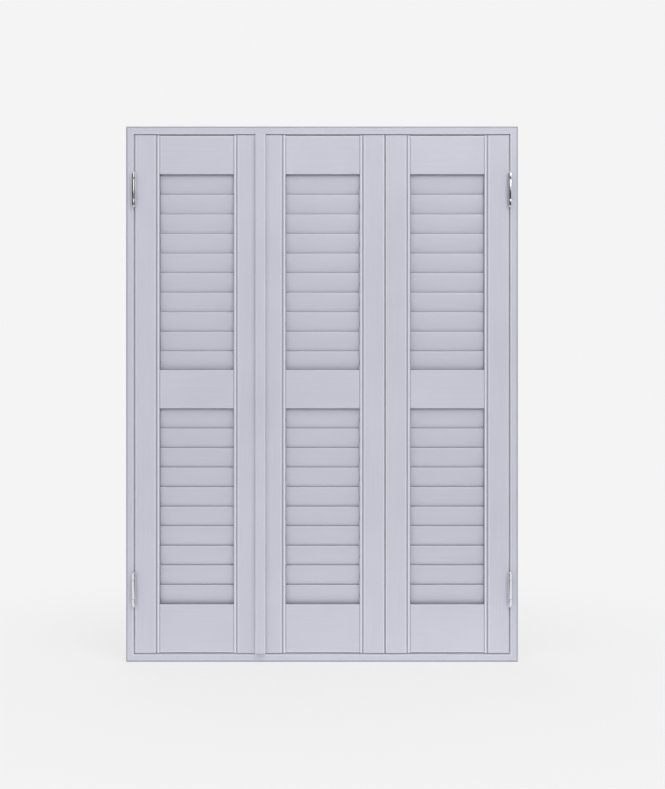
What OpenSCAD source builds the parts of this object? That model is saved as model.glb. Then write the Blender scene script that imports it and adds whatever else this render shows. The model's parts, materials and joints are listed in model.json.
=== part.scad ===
// Louvred window shutters in a mitred timber frame: one single panel on the left jamb
// and a folding pair on the right jamb, with a meeting strip over the joint between them.
// Millimetres. +Z is up, the room is on the -Y side and the window on the +Y side.
// The origin is the middle of the sill's underside.

/* [Frame] */
// Overall width of the frame
frame_w = 800; // [720:1:1000]
// Overall height of the frame
frame_h = 1093; // [1040:1:1180]
// Depth of the frame from the room to the window
frame_d = 50; // [46:1:80]
// Width of the frame's face
frame_face = 16; // [14:1:26]
// How far the light stop reaches in behind the panels
stop_reach = 12; // [9:1:18]
// How far the frame's small rebate goes back from its face
lip_setback = 4; // [2:0.5:5]
// How far the frame reaches into the gap behind that rebate
lip_t = 2; // [1.5:0.1:2.2]
// Rounding of the frame's outer edge on the room side
frame_round = 4; // [1:0.5:5]
// Radius of the frame's fixing holes
fixing_r = 2.6; // [2:0.1:3.2]
// Distance of the fixing holes from the frame's top and bottom
fixing_inset = 200; // [120:5:320]

/* [Panels] */
// Thickness of the stiles
panel_t = 28; // [27:0.5:32]
// Gap round the panels and at the fold
edge_gap = 3; // [2.6:0.1:4]
// Gap between the left and the middle panel, behind the meeting strip
meeting_gap = 6; // [5:0.5:8]
// How far the panels stand proud of the frame's face
panel_proud = 0.6; // [0.4:0.1:1]
// Gap between the panels and the light stop
stop_gap = 7; // [6:0.1:9]
// Width of the stiles
stile_w = 49.6; // [44:0.1:58]
// Height of the top rails
top_rail_h = 78.4; // [70:0.2:100]
// Height of the middle rails
mid_rail_h = 78; // [70:1:100]
// Height of the bottom rails
bottom_rail_h = 98.4; // [90:0.2:120]
// How far the top and bottom rails end short of the stiles
rail_inset = 0.5; // [0:0.1:2]
// How far the rails' faces lie behind the stiles' faces
rail_setback = 1.5; // [0.8:0.1:2.2]
// Width of the bead along a stile's inner edge
bead_w = 4.8; // [3.6:0.1:6]
// Width of the groove beside the bead
quirk_w = 2.4; // [1.6:0.1:3.2]
// Bevel on the middle panel's free edge, which lets it fold out behind the meeting strip
meeting_bevel = 3; // [2.6:0.1:4]
// Rounding of the small edges
edge_round = 1.2; // [0.6:0.1:1.8]

/* [Fold tongue] */
// Thickness of the tongue that keeps light out of the fold
tongue_t = 4; // [3:0.5:5]
// Distance of the tongue from the panels' face
tongue_setback = 5; // [3:0.5:5.5]
// How far the tongue reaches into the next panel's stile
tongue_lap = 1.5; // [1:0.1:2]
// Clearance round the tongue
tongue_clear = 0.4; // [0.3:0.05:0.6]

/* [Tenons] */
// Thickness of the rails' tenons
tenon_t = 9; // [7:0.5:11]
// Length of the tenons
tenon_len = 18; // [12:1:26]
// Height of the rail left above and below a tenon
tenon_shoulder = 21; // [20:1:26]
// Clearance round a tenon
tenon_clear = 0.15; // [0.1:0.05:0.3]

/* [Louvres] */
// Width of a louvre across its two edges
louvre_w = 47; // [45:0.5:50]
// Thickness of a louvre at its middle
louvre_t = 10; // [8:0.5:11]
// Radius of a louvre's edges
louvre_edge_r = 1.6; // [1.2:0.1:2]
// Gap between closed louvres where they lap
louvre_lap_gap = 2.2; // [1.8:0.1:2.8]
// Gap between a louvre's ends and the stiles
louvre_end_gap = 0.6; // [0.4:0.1:1.5]
// Gap between the turning louvre and the rail above it
louvre_rail_gap = 0.9; // [0.8:0.1:3]
// Height of the rail's stop behind the highest louvre's upper edge
rail_stop_h = 2.4; // [1.8:0.1:2.5]
// Thickness of that stop
rail_stop_t = 3.5; // [3:0.1:3.8]
// How far the lowest louvre of a bank hangs behind the rail's lip
louvre_rail_lap = 8; // [6:0.5:9]
// Thickness of the lip along a rail's upper edge
rail_lip_t = 10.4; // [8:0.2:11]
// Radius of the louvres' pivots
pivot_r = 3; // [2:0.1:4]
// Length of the pivots in the stiles
pivot_len = 10; // [7:1:16]
// Running clearance round a pivot
pivot_clear = 0.06; // [0.03:0.01:0.1]

/* [Tilt bars] */
// Width of a tilt bar
bar_w = 10; // [9:0.5:14]
// Thickness of a tilt bar
bar_t = 2; // [1.5:0.1:2.5]
// Distance of a tilt bar from the stile on its left
bar_inset = 24; // [14:1:60]
// How far a bar runs on past its last clips
bar_end = 4; // [3:0.5:5]
// Gap between the closed louvres' backs and the bar
bar_clear = 1.3; // [1:0.1:2]
// How far a clip's pin stands off from the louvre's edge
clip_reach = 2.8; // [2.7:0.1:3.2]
// Radius of a clip's pin
clip_pin_r = 1; // [0.8:0.05:1.1]
// Thickness of a clip's tab
clip_t = 2; // [1.5:0.1:2.4]
// Thickness of the bar's ears on both sides of a tab
ear_t = 1.8; // [1.4:0.1:2]
// Gap between an ear and the tab beside it
ear_gap = 0.4; // [0.3:0.05:0.5]
// Gap between an ear and the louvre's edge
ear_clear = 0.6; // [0.5:0.05:0.8]
// Running clearance of the pin in the ears of the first clip
clip_clear = 0.06; // [0.03:0.01:0.1]
// Clearance of the pins in the ears of the other clips
clip_slack = 0.4; // [0.3:0.05:0.5]

/* [Hinges] */
// Radius of the hinge knuckles
knuckle_r = 4.5; // [4:0.1:4.8]
// Length of a hinge's barrel
hinge_len = 66; // [54:1:80]
// Length of each outer knuckle
knuckle_end = 12.6; // [9:0.2:16]
// Distance of a hinge's axis from the panels' face
hinge_offset = 5; // [5:0.1:5.4]
// Width of a hinge leaf in the gap
leaf_w = 16; // [14:0.5:17]
// Clearance of the leaves in the jambs' mortises
mortise_clear = 0.3; // [0.2:0.1:0.6]
// Gap between the closed leaves
leaf_gap = 0.4; // [0.3:0.05:0.6]
// Radius of the hinge pins
pin_r = 2.5; // [2:0.1:2.8]
// Running clearance round a hinge pin
pin_clear = 0.05; // [0.03:0.01:0.1]
// Radius of the round tip on a hinge pin
tip_r = 2.6; // [2.2:0.1:3]
// Gap between neighbouring knuckles
knuckle_gap = 0.4; // [0.3:0.05:0.6]
// Distance of the upper hinges' middle from the panels' top
hinge_drop = 111; // [90:1:140]
// Distance of the lower hinges' middle from the panels' bottom
hinge_rise = 130; // [110:1:150]

/* [Meeting strip and catches] */
// Width of the meeting strip
strip_w = 20.5; // [18:0.5:26]
// Thickness of the meeting strip
strip_t = 8; // [6:0.5:10]
// How far the strip lies on the left panel
strip_seat = 5.5; // [5:0.5:9]
// Gap between the strip and the middle panel
strip_gap = 0.8; // [0.7:0.1:1.2]
// How far the strip runs on past the panels' ends
strip_over = 1.8; // [0:0.2:4]
// Rounding of the strip's two long edges
strip_round = 2.5; // [1:0.5:3]
// Width of the catch magnets and their strike plates
catch_w = 30; // [20:1:40]
// Height of the catch magnets
catch_h = 6; // [4:0.5:6.5]
// Thickness of the strike plates
strike_t = 1.2; // [0.8:0.1:1.6]
// Gap between a magnet and its strike plate
catch_gap = 0.2; // [0.1:0.05:0.4]
// Distance of a catch from the panel's edge
catch_inset = 8; // [4:1:20]

/* [Hidden] */

// Smoothness of round parts and of rounded outlines
$fn = 48;
arc_steps = 5;
lens_steps = 10;
// Overlap that joins the shapes of one piece, and reach of a cutter past a face
join = 0.2;

paint = [0.77, 0.77, 0.82];
steel = [0.80, 0.80, 0.82];
bar_metal = [0.70, 0.71, 0.73];
magnet_grey = [0.35, 0.35, 0.37];

// Depths, from the room to the window
face_y = -frame_d / 2;
panel_y = face_y - panel_proud;
panel_back_y = panel_y + panel_t;
axis_y = panel_y + panel_t / 2;
stop_y = panel_back_y + stop_gap;
fixing_y = (stop_y + frame_d / 2) / 2;

// Widths across the opening
inner_w = frame_w - 2 * frame_face;
panel_w = (inner_w - 3 * edge_gap - meeting_gap) / 3;
left_x = -inner_w / 2 + edge_gap;
middle_x = left_x + panel_w + meeting_gap;
right_x = middle_x + panel_w + edge_gap;
opening_w = panel_w - 2 * stile_w;
hinge_x = inner_w / 2 - edge_gap / 2;
fold_x = right_x - edge_gap / 2;

// Heights
panel_z = frame_face + edge_gap;
panel_h = frame_h - 2 * panel_z;
panel_top = panel_z + panel_h;
bank_h = (panel_h - top_rail_h - mid_rail_h - bottom_rail_h) / 2;
lower_bank_z = panel_z + bottom_rail_h;
mid_rail_z = lower_bank_z + bank_h;
upper_bank_z = mid_rail_z + mid_rail_h;
top_rail_z = upper_bank_z + bank_h;
bank_bases = [upper_bank_z, lower_bank_z];
rail_places = [
    [top_rail_z, top_rail_h - rail_inset],
    [mid_rail_z, mid_rail_h],
    [panel_z + rail_inset, bottom_rail_h - rail_inset]
];

// Louvres of a bank: the first is the highest, and the last hangs behind the rail's lip
louvre_count = 10;
pivot_hole_len = pivot_len + 1;
pitch = (bank_h - louvre_w - louvre_rail_gap + louvre_rail_lap) / (louvre_count - 1);
louvre_len = opening_w - 2 * louvre_end_gap;
tip_reach = louvre_w / 2 - louvre_edge_r;
lens_r = (pow(tip_reach, 2) + pow(louvre_t / 2, 2) - pow(louvre_edge_r, 2)) / (louvre_t - 2 * louvre_edge_r);
lens_drop = lens_r - louvre_t / 2;
lens_sweep = asin(tip_reach / (lens_r - louvre_edge_r));
lap_t = max(0, 2 * (sqrt(pow(lens_r, 2) - pow(pitch / 2, 2)) - lens_drop));
closed_tilt = asin((lap_t + louvre_lap_gap) / pitch);
function louvre_z(bank, k) =
    bank_bases[bank] + bank_h - louvre_w / 2 - louvre_rail_gap - k * pitch;

// Tilt bars
clip_r = louvre_w / 2 + clip_reach;
clip_back = clip_r * sin(closed_tilt);
clip_fall = clip_r * cos(closed_tilt);
ear_r = clip_reach - ear_clear;
tab_r = ear_r - join;
ear_x = clip_t / 2 + ear_gap + ear_t / 2;
clip_pin_len = 2 * (ear_x + ear_t / 2 + ear_gap);
louvre_back = lens_r - lens_drop * cos(closed_tilt);
bar_gap = max(louvre_back + bar_clear - clip_back, tab_r + ear_gap);
rebate_h = louvre_rail_lap + clip_reach + bar_end + bar_clear;
rebate_y = rail_setback + rail_lip_t;

// Hinges
leaf_t = (edge_gap - leaf_gap) / 2;
hinge_zs = [panel_top - hinge_drop, panel_z + hinge_rise];
leaf_setback = 1;
leaf_start = hinge_offset + leaf_setback;
tip_collar_h = 0.9;
tip_collar_r = pin_r + 0.8;

// Catches
catch_t = stop_gap - strike_t - catch_gap;
catch_lap = stop_reach - edge_gap;
catch_zs = [panel_top - catch_lap / 2, panel_z + catch_lap / 2];
left_catch_x = left_x + panel_w - catch_inset - catch_w / 2;
right_catch_x = right_x + catch_inset + catch_w / 2;

function arc(cx, cy, r, from, to, steps = arc_steps) =
    [for (i = [0:steps]) let (a = from + (to - from) * i / steps) [cx + r * cos(a), cy + r * sin(a)]];

// Timber sections
// Frame section: x runs in from the outer face, y from the room to the window
module frame_section() {
    back = frame_d / 2;
    r = edge_round;
    polygon(concat(
        arc(frame_round, face_y + frame_round, frame_round, 180, 270),
        arc(frame_face - r, face_y + r, r, 270, 360),
        [[frame_face, face_y + lip_setback], [frame_face + lip_t, face_y + lip_setback]],
        [[frame_face + lip_t, back], [0, back]]));
}

// Section of the light stop that lies along the frame's inner face behind the panels
module stop_section() {
    inner = frame_face + stop_reach;
    back = frame_d / 2;
    r = edge_round;
    polygon(concat(
        [[frame_face + lip_t, stop_y]],
        arc(inner - r, stop_y + r, r, 270, 360),
        arc(inner - r, back - r, r, 0, 90),
        [[frame_face + lip_t, back]]));
}

// Prism that cuts the two ends of a frame member or a light stop to the mitre
module mitre_prism(length) {
    reach = frame_face + stop_reach;
    translate([0, frame_d, 0])
        rotate([90, 0, 0])
            linear_extrude(2 * frame_d)
                polygon([[0, 0], [0, length], [reach, length - reach], [reach, reach]]);
}

// Length of a section from the children, mitred at both ends
module mitred(length) {
    intersection() {
        linear_extrude(length)
            children();
        mitre_prism(length);
    }
}

// Fixing hole through a jamb and its light stop, countersunk on the inner side
module fixing_hole() {
    through = frame_face + stop_reach;
    translate([-join, fixing_y, 0])
        rotate([0, 90, 0])
            cylinder(r = fixing_r, h = through + 2 * join);
    translate([through - fixing_r, fixing_y, 0])
        rotate([0, 90, 0])
            cylinder(r1 = fixing_r, r2 = 2 * fixing_r + join, h = fixing_r + join);
}

// Mortise in a jamb for the two leaves of a hinge
module hinge_mortise() {
    leaf_end_y = panel_y - hinge_offset + leaf_start + leaf_w;
    high = hinge_len + 2 * mortise_clear;
    translate([frame_face, face_y - join, -high / 2])
        cube([lip_t + join, leaf_end_y + mortise_clear - face_y + join, high]);
}

// Upright member at the left side, of the section in the children, with its fixing holes
module upright() {
    translate([-frame_w / 2, 0, 0])
        difference() {
            mitred(frame_h)
                children();
            for (z = [fixing_inset, frame_h - fixing_inset])
                translate([0, 0, z])
                    fixing_hole();
        }
}

// Level member at the bottom, of the section in the children
module level() {
    color(paint)
        translate([frame_w / 2, 0, 0])
            rotate([0, -90, 0])
                mitred(frame_w)
                    children();
}

module at_top() {
    translate([0, 0, frame_h])
        mirror([0, 0, 1])
            children();
}

module left_jamb() {
    color(paint)
        difference() {
            upright()
                frame_section();
            for (z = hinge_zs)
                translate([-frame_w / 2, 0, z])
                    hinge_mortise();
        }
}

module right_jamb() {
    mirror([1, 0, 0])
        left_jamb();
}

module sill() {
    level()
        frame_section();
}

module head() {
    at_top()
        sill();
}

module side_light_stops() {
    color(paint)
        for (side = [0, 1])
            mirror([side, 0, 0])
                upright()
                    stop_section();
}

module end_light_stops() {
    level()
        stop_section();
    at_top()
        level()
            stop_section();
}

// Stile section: x runs from the outer edge to the bead, y from the face to the back
module stile_section(bevel) {
    bead_r = bead_w / 2;
    quirk_x = stile_w - bead_w - quirk_w;
    r = edge_round;
    polygon(concat(
        arc(bevel + r, r, r, 180, 270),
        [[quirk_x, 0], [quirk_x, bead_r]],
        arc(stile_w - bead_r, bead_r, bead_r, 180, 360, 2 * arc_steps),
        arc(stile_w - r, panel_t - r, r, 0, 90),
        arc(r, panel_t - r, r, 90, 180)));
}

// Stile with its outer edge at x = 0, the louvres' pivot holes and the rails' mortises
module stile(bevel = 0) {
    difference() {
        translate([0, panel_y, panel_z])
            linear_extrude(panel_h)
                stile_section(bevel);
        for (bank = [0, 1], k = [0:louvre_count - 1])
            translate([stile_w - pivot_hole_len, axis_y, louvre_z(bank, k)])
                rotate([0, 90, 0])
                    cylinder(r = pivot_r + pivot_clear, h = pivot_hole_len + join);
        for (place = rail_places)
            translate([stile_w - tenon_len - 2 * tenon_clear, axis_y, place[0] + place[1] / 2])
                tenon(tenon_len + 2 * tenon_clear + join, place[1], tenon_clear);
    }
}

// Stile with a tongue along its outer edge, and the stile with the groove that the tongue lies in
module tongued_stile() {
    reach = edge_gap + tongue_lap;
    stile();
    translate([-reach, panel_y + tongue_setback, panel_z])
        cube([reach + join, tongue_t, panel_h]);
}

module grooved_stile() {
    difference() {
        stile();
        translate([-join, panel_y + tongue_setback - tongue_clear, panel_z - join])
            cube([join + tongue_lap + tongue_clear, tongue_t + 2 * tongue_clear, panel_h + 2 * join]);
    }
}

// Block of a tenon, or of its mortise, from x = 0 along +x
module tenon(length, rail_h, clear = 0) {
    thick = tenon_t + 2 * clear;
    high = rail_h - 2 * tenon_shoulder + 2 * clear;
    translate([0, -thick / 2, -high / 2])
        cube([length, thick, high]);
}

module left_side(panel_left) {
    color(paint)
        translate([panel_left, 0, 0])
            children();
}

module right_side(panel_left) {
    color(paint)
        translate([panel_left + panel_w, 0, 0])
            mirror([1, 0, 0])
                children();
}

// Rail section: x is the depth from the panel's face, y the height over the rail's lower edge.
// A rebated rail has a lip in front of the louvre above it, a stopped one a stop behind the louvre below it.
module rail_section(rail_h, rebated, stopped) {
    front = rail_setback;
    back = panel_t - rail_setback;
    ledge = rail_h - rebate_h;
    stop_front = back - rail_stop_t;
    r = edge_round;
    polygon(concat(
        arc(front + r, r, r, 270, 180),
        arc(front + r, rail_h - r, r, 180, 90),
        rebated ? [[rebate_y, rail_h], [rebate_y, ledge], [back, ledge]] : [[back, rail_h]],
        stopped ? [[back, -rail_stop_h], [stop_front, -rail_stop_h], [stop_front, 0]] : [[back, 0]]));
}

// Rail between the stiles of a panel, with a tenon at each end
module rail(panel_left, place, rebated, stopped) {
    color(paint)
        translate([panel_left + stile_w, 0, place[0]]) {
            translate([0, panel_y, 0])
                rotate([90, 0, 90])
                    linear_extrude(opening_w)
                        rail_section(place[1], rebated, stopped);
            for (x = [-tenon_len, opening_w - join])
                translate([x, axis_y, place[1] / 2])
                    tenon(tenon_len + join, place[1]);
        }
}

module top_rail(panel_left) {
    rail(panel_left, rail_places[0], false, true);
}

module middle_rail(panel_left) {
    rail(panel_left, rail_places[1], true, true);
}

module bottom_rail(panel_left) {
    rail(panel_left, rail_places[2], true, false);
}

// Louvre section, upright: two wide arcs that run into small round edges
module louvre_section() {
    polygon(concat(
        arc(-lens_drop, 0, lens_r, -lens_sweep, lens_sweep, lens_steps),
        arc(0, tip_reach, louvre_edge_r, lens_sweep, 180 - lens_sweep),
        arc(lens_drop, 0, lens_r, 180 - lens_sweep, 180 + lens_sweep, lens_steps),
        arc(0, -tip_reach, louvre_edge_r, 180 + lens_sweep, 360 - lens_sweep)));
}

// Upright tab of a clip, below the louvre's lower edge, round the clip's pin
module clip_tab() {
    translate([-tab_r, -clip_r])
        square([2 * tab_r, 2 * tab_r + clip_reach]);
    translate([0, -clip_r])
        circle(r = tab_r);
}

// Louvre with its pivots and its clip, tilted shut, at its place in a panel
module louvre(panel_left, bank, k) {
    span = louvre_len + 2 * (louvre_end_gap + pivot_len);
    bar_x = bar_inset - louvre_end_gap;
    translate([panel_left + stile_w + louvre_end_gap, axis_y, louvre_z(bank, k)])
        rotate([closed_tilt, 0, 0]) {
            rotate([90, 0, 90])
                linear_extrude(louvre_len)
                    louvre_section();
            translate([-louvre_end_gap - pivot_len, 0, 0])
                rotate([0, 90, 0])
                    cylinder(r = pivot_r, h = span);
            translate([bar_x - clip_t / 2, 0, 0])
                rotate([90, 0, 90])
                    linear_extrude(clip_t)
                        clip_tab();
            translate([bar_x - clip_pin_len / 2, 0, -clip_r])
                rotate([0, 90, 0])
                    cylinder(r = clip_pin_r, h = clip_pin_len);
        }
}

function louvre_name(i) = str("left_louvre_", i < 9 ? "0" : "", i + 1);

module left_louvre(i) {
    color(paint)
        louvre(left_x, floor(i / louvre_count), i % louvre_count);
}

module louvre_bank(panel_left, bank) {
    color(paint)
        for (k = [0:louvre_count - 1])
            louvre(panel_left, bank, k);
}

// Ear of a tilt bar round a clip's pin, from the pin at y = 0 back to the bar
module bar_ear() {
    translate([-ear_t / 2, 0, 0])
        rotate([0, 90, 0])
            cylinder(r = ear_r, h = ear_t);
    translate([-ear_t / 2, 0, -ear_r])
        cube([ear_t, bar_gap + join, 2 * ear_r]);
}

// Tilt bar behind a bank of louvres, with a pair of ears for each clip
module tilt_bar(panel_left, bank) {
    bar_h = (louvre_count - 1) * pitch + 2 * bar_end;
    low = louvre_z(bank, louvre_count - 1) - clip_fall;
    color(bar_metal)
        translate([panel_left + stile_w + bar_inset, axis_y + clip_back, 0])
            difference() {
                union() {
                    translate([-bar_w / 2, bar_gap, low - bar_end])
                        cube([bar_w, bar_t, bar_h]);
                    for (k = [0:louvre_count - 1], side = [-1, 1])
                        translate([side * ear_x, 0, louvre_z(bank, k) - clip_fall])
                            bar_ear();
                }
                for (k = [0:louvre_count - 1])
                    translate([-bar_w / 2, 0, louvre_z(bank, k) - clip_fall])
                        rotate([0, 90, 0])
                            cylinder(r = clip_pin_r + (k == 0 ? clip_clear : clip_slack), h = bar_w);
            }
}

module tilt_bar_pair(panel_left) {
    for (bank = [0, 1])
        tilt_bar(panel_left, bank);
}

// Hinge in its own frame: the axis is z, the leaves run along +y in the gap
module knuckle(from, to) {
    translate([0, 0, from])
        difference() {
            cylinder(r = knuckle_r, h = to - from);
            translate([0, 0, -join])
                cylinder(r = pin_r + pin_clear, h = to - from + 2 * join);
        }
}

// Neck that joins a knuckle to its leaf on the +x side
module leaf_neck(from, to) {
    neck_y = pin_r + pin_clear + join;
    translate([leaf_gap / 2, neck_y, from])
        cube([leaf_t, leaf_start - neck_y + join, to - from]);
}

module leaf_plate() {
    translate([leaf_gap / 2, leaf_start, -hinge_len / 2])
        cube([leaf_t, leaf_w, hinge_len]);
}

// Leaf on the +x side, with the two outer knuckles
module outer_leaf() {
    leaf_plate();
    for (side = [0, 1])
        mirror([0, 0, side]) {
            knuckle(hinge_len / 2 - knuckle_end, hinge_len / 2);
            leaf_neck(hinge_len / 2 - knuckle_end, hinge_len / 2);
        }
}

// Leaf on the -x side, with the long middle knuckle
module inner_leaf() {
    reach = hinge_len / 2 - knuckle_end - knuckle_gap;
    knuckle(-reach, reach);
    mirror([1, 0, 0]) {
        leaf_plate();
        leaf_neck(-reach, reach);
    }
}

// Pin through the knuckles, with a collar and a ball at each end
module hinge_pin() {
    reach = hinge_len / 2 + pin_clear;
    cylinder(r = pin_r, h = 2 * reach, center = true);
    for (side = [0, 1])
        mirror([0, 0, side]) {
            translate([0, 0, reach])
                cylinder(r = tip_collar_r, h = tip_collar_h);
            translate([0, 0, reach + tip_collar_h])
                sphere(r = tip_r);
        }
}

// Places of the hinges: on the right jamb, on the left jamb, and between the folding panels
module at_right_hinges() {
    for (z = hinge_zs)
        translate([hinge_x, panel_y - hinge_offset, z])
            children();
}

module at_left_hinges() {
    mirror([1, 0, 0])
        at_right_hinges()
            children();
}

module at_fold_hinges() {
    for (z = hinge_zs)
        translate([fold_x, panel_back_y + hinge_offset, z])
            rotate([0, 0, 180])
                children();
}

module frame_hinge_leaves() {
    color(steel) {
        at_left_hinges()
            outer_leaf();
        at_right_hinges()
            outer_leaf();
    }
}

module frame_hinge_pins() {
    color(steel) {
        at_left_hinges()
            hinge_pin();
        at_right_hinges()
            hinge_pin();
    }
}

module left_hinge_leaves() {
    color(steel)
        at_left_hinges()
            inner_leaf();
}

module right_hinge_leaves() {
    color(steel)
        at_right_hinges()
            inner_leaf();
}

module middle_fold_leaves() {
    color(steel)
        at_fold_hinges()
            outer_leaf();
}

module right_fold_leaves() {
    color(steel)
        at_fold_hinges()
            inner_leaf();
}

module fold_hinge_pins() {
    color(steel)
        at_fold_hinges()
            hinge_pin();
}

// Strip on the left panel's free edge, relieved where it laps over the middle panel
module meeting_strip() {
    edge_x = left_x + panel_w;
    x0 = edge_x - strip_seat;
    x1 = x0 + strip_w;
    front = panel_y - strip_t;
    low = panel_z - strip_over;
    high = panel_top + strip_over;
    r = strip_round;
    color(paint)
        translate([0, 0, low])
            linear_extrude(high - low)
                polygon(concat(
                    [[x0, panel_y]],
                    arc(x0 + r, front + r, r, 180, 270),
                    arc(x1 - r, front + r, r, 270, 360),
                    [[x1, panel_y - strip_gap], [edge_x, panel_y - strip_gap], [edge_x, panel_y]]));
}

// Plates on the panels' backs and magnets on the light stop that hold the panels shut
module strike_plates(x) {
    color(steel)
        for (z = catch_zs)
            translate([x - catch_w / 2, panel_back_y, z - catch_h / 2])
                cube([catch_w, strike_t, catch_h]);
}

module catch_magnets() {
    color(magnet_grey)
        for (x = [left_catch_x, right_catch_x], z = catch_zs)
            translate([x - catch_w / 2, stop_y - catch_t, z - catch_h / 2])
                cube([catch_w, catch_t, catch_h]);
}

left_jamb();
right_jamb();
head();
sill();
side_light_stops();
end_light_stops();
frame_hinge_leaves();
frame_hinge_pins();
catch_magnets();

left_side(left_x) stile();  // left_hinge_stile
right_side(left_x) stile();  // left_meeting_stile
top_rail(left_x);  // left_top_rail
middle_rail(left_x);  // left_middle_rail
bottom_rail(left_x);  // left_bottom_rail
meeting_strip();
left_hinge_leaves();
strike_plates(left_catch_x);  // left_strike_plates
for (i = [0:2 * louvre_count - 1])
    left_louvre(i);
tilt_bar(left_x, 0);  // left_upper_tilt_bar
tilt_bar(left_x, 1);  // left_lower_tilt_bar

left_side(middle_x) stile(meeting_bevel);  // middle_meeting_stile
right_side(middle_x) tongued_stile();  // middle_fold_stile
top_rail(middle_x);  // middle_top_rail
middle_rail(middle_x);  // middle_middle_rail
bottom_rail(middle_x);  // middle_bottom_rail
louvre_bank(middle_x, 0);  // middle_upper_louvres
louvre_bank(middle_x, 1);  // middle_lower_louvres
tilt_bar_pair(middle_x);  // middle_tilt_bars
middle_fold_leaves();

left_side(right_x) grooved_stile();  // right_fold_stile
right_side(right_x) stile();  // right_hinge_stile
top_rail(right_x);  // right_top_rail
middle_rail(right_x);  // right_middle_rail
bottom_rail(right_x);  // right_bottom_rail
louvre_bank(right_x, 0);  // right_upper_louvres
louvre_bank(right_x, 1);  // right_lower_louvres
tilt_bar_pair(right_x);  // right_tilt_bars
right_hinge_leaves();
right_fold_leaves();
fold_hinge_pins();
strike_plates(right_catch_x);  // right_strike_plates
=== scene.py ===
import json
import math
import bmesh
import bpy
from mathutils import Matrix, Vector
from mathutils.geometry import tessellate_polygon


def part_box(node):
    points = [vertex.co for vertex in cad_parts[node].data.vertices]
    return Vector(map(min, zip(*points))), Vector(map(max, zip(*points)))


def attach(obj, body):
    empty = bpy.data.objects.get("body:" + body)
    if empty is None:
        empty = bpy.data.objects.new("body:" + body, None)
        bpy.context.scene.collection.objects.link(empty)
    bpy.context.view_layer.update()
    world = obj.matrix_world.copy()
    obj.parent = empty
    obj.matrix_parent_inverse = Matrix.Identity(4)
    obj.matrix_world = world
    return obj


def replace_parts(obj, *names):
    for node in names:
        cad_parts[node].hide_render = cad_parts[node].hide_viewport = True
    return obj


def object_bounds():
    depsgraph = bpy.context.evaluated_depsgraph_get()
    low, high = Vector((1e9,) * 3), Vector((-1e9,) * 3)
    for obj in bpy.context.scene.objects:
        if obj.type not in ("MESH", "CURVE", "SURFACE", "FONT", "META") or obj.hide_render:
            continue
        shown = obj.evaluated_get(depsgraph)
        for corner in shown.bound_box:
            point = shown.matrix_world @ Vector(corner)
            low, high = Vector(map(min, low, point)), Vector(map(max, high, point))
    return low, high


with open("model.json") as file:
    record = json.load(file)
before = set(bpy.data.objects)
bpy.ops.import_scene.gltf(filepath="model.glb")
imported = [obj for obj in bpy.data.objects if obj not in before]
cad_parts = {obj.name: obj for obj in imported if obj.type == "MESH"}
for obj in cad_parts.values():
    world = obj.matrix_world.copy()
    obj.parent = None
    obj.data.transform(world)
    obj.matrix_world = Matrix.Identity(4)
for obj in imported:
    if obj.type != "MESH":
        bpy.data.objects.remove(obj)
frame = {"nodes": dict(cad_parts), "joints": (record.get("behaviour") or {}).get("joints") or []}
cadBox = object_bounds()
scene = bpy.context.scene
scene.view_settings.view_transform = "Standard"
nodes = frame["nodes"]
mm = 0.001

# places that the camera, the finishes and the fittings follow
midX, _, midZ = [(low + high) / 2 for low, high in zip(*cadBox)]
panelMiddles = {}
for panel in ("left", "middle", "right"):
    railLow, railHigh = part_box(panel + "_top_rail")
    panelMiddles[panel] = (railLow.x + railHigh.x) / 2
jointAt = {joint["child"]: Vector(joint["pos_m"]) for joint in frame["joints"]}


# camera, square on to the shutters
shot = {
    "imageSize": (665, 789),      # pixels
    "pixel": 2.0392 * mm,         # size of one pixel on the frame's face
    "middle": (322.0, 394.15),    # where the frame's middle lies in the picture
    "distance": 2.4,              # from the lens to the frame's face, metres
    "sensor": 36.0,               # millimetres
}


def addCamera():
    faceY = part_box("head")[0].y
    wide, tall = shot["imageSize"]
    data = bpy.data.cameras.new("frontCamera")
    data.sensor_fit = "AUTO"
    data.sensor_width = shot["sensor"]
    data.lens = shot["sensor"] * shot["distance"] / (tall * shot["pixel"])
    camera = bpy.data.objects.new("frontCamera", data)
    camera.location = (midX + (wide / 2 - shot["middle"][0]) * shot["pixel"],
                       faceY - shot["distance"],
                       midZ - (tall / 2 - shot["middle"][1]) * shot["pixel"])
    camera.rotation_euler = (math.radians(90), 0, 0)
    scene.collection.objects.link(camera)
    scene.camera = camera


addCamera()
print("camera set")


# small helpers for node trees, where a value is a (node, output) pair
def addNode(tree, kind, **values):
    node = tree.nodes.new(kind)
    for key, value in values.items():
        if hasattr(node, key):
            setattr(node, key, value)
        else:
            node.inputs[key.replace("_", " ")].default_value = value
    return node


def join(tree, source, output, target, socket):
    tree.links.new(source.outputs[output], target.inputs[socket])


def mathNode(tree, operation, *values):
    # plain numbers are taken too
    node = addNode(tree, "ShaderNodeMath", operation=operation)
    for i, value in enumerate(values):
        if isinstance(value, tuple):
            join(tree, *value, node, i)
        else:
            node.inputs[i].default_value = value
    return node, 0


def ranged(tree, value, span, to=(0.0, 1.0), kind="SMOOTHSTEP"):
    # carries a value from span over to the range in to; either end of span may be the larger
    node = addNode(tree, "ShaderNodeMapRange", interpolation_type=kind,
                   From_Min=span[0], From_Max=span[1], To_Min=to[0], To_Max=to[1])
    join(tree, *value, node, "Value")
    return node, "Result"


def mixColour(tree, factor, first, colour):
    node = addNode(tree, "ShaderNodeMix", data_type="RGBA")
    join(tree, *factor, node, 0)
    join(tree, *first, node, 6)   # sockets 6 and 7 are this node's two colours
    node.inputs[7].default_value = (*colour, 1)
    return node, 2


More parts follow.
